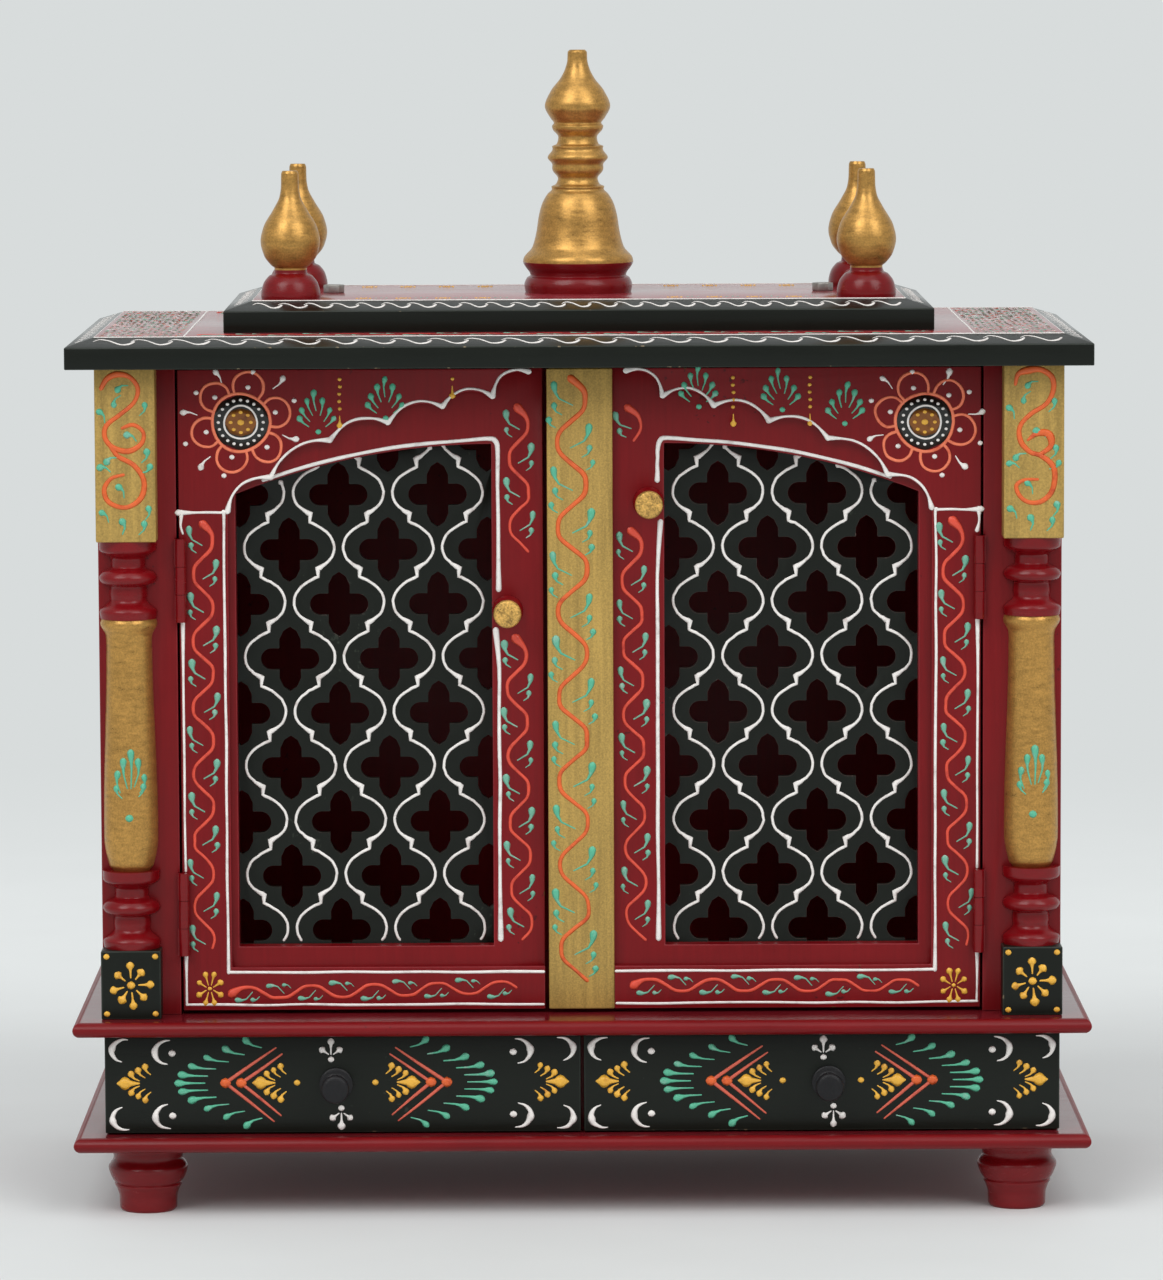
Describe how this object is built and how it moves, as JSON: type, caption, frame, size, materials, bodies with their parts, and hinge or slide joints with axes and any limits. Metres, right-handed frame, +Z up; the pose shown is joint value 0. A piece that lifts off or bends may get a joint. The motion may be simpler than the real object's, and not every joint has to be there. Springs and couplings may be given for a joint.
{
  "type": "wooden pooja mandir",
  "caption": "Table-top wooden shrine cupboard with lattice doors, drawers, half-turned pilasters, turned feet and a stepped roof with turned finials.",
  "frame": {"origin": "on the floor, under the middle of the object's bounding box", "axes": "+Z up, the doors and drawers face -Y, +X to the right of someone facing the doors"},
  "size_m": [0.61, 0.3124, 0.6965],
  "materials": {
    "maroon_paint": "satin-gloss maroon enamel on wood",
    "dark_green_paint": "satin black-green enamel on wood",
    "gold_paint": "gold paint on turned wood",
    "black_paint": "black paint on turned wood",
    "bare_wood": "plain wood, lightly sanded",
    "hinge_metal": "steel butt hinges painted over with the maroon enamel",
    "bolt_metal": "dark steel nuts"
  },
  "bodies": {
    "root": {"foot_front_left": "maroon_paint", "foot_front_right": "maroon_paint", "foot_back_left": "maroon_paint", "foot_back_right": "maroon_paint", "bottom_shelf": "maroon_paint", "middle_shelf": "maroon_paint", "drawer_case_left": "maroon_paint", "drawer_case_right": "maroon_paint", "drawer_case_back": "maroon_paint", "drawer_divider": "maroon_paint", "side_panel_left": "maroon_paint", "side_panel_right": "maroon_paint", "back_panel": "maroon_paint", "stile_left": "maroon_paint", "stile_right": "maroon_paint", "pilaster_left": "gold_paint", "pilaster_right": "gold_paint", "stile_hinges_left": "hinge_metal", "stile_hinges_right": "hinge_metal", "main_roof": "dark_green_paint", "upper_roof": "dark_green_paint", "crown_finial": "gold_paint", "finial_front_left": "gold_paint", "finial_front_right": "gold_paint", "finial_back_left": "gold_paint", "finial_back_right": "gold_paint", "roof_bolts": "bolt_metal"},
    "left_door": {"door_left_board": "maroon_paint", "door_left_overlay": "maroon_paint", "door_left_lattice": "dark_green_paint", "door_left_knob": "gold_paint", "door_left_hinges": "hinge_metal"},
    "right_door": {"door_right_board": "maroon_paint", "door_right_overlay": "maroon_paint", "door_right_lattice": "dark_green_paint", "door_right_knob": "gold_paint", "door_right_hinges": "hinge_metal", "door_right_strip": "gold_paint"},
    "left_drawer": {"drawer_left_front": "dark_green_paint", "drawer_left_box": "bare_wood", "drawer_left_knob": "black_paint"},
    "right_drawer": {"drawer_right_front": "dark_green_paint", "drawer_right_box": "bare_wood", "drawer_right_knob": "black_paint"}
  },
  "joints": [
    {"name": "left_door_hinge", "type": "hinge", "parent": "root", "child": "left_door", "pos_m": [-0.239, -0.11825, 0.316], "axis": [0, 0, -1], "range_deg": [0, 110]},
    {"name": "right_door_hinge", "type": "hinge", "parent": "root", "child": "right_door", "pos_m": [0.239, -0.11825, 0.316], "axis": [0, 0, 1], "range_deg": [0, 110]},
    {"name": "left_drawer_slide", "type": "slide", "parent": "root", "child": "left_drawer", "axis": [0, -1, 0], "range_m": [0, 0.18]},
    {"name": "right_drawer_slide", "type": "slide", "parent": "root", "child": "right_drawer", "axis": [0, -1, 0], "range_m": [0, 0.18]}
  ]
}
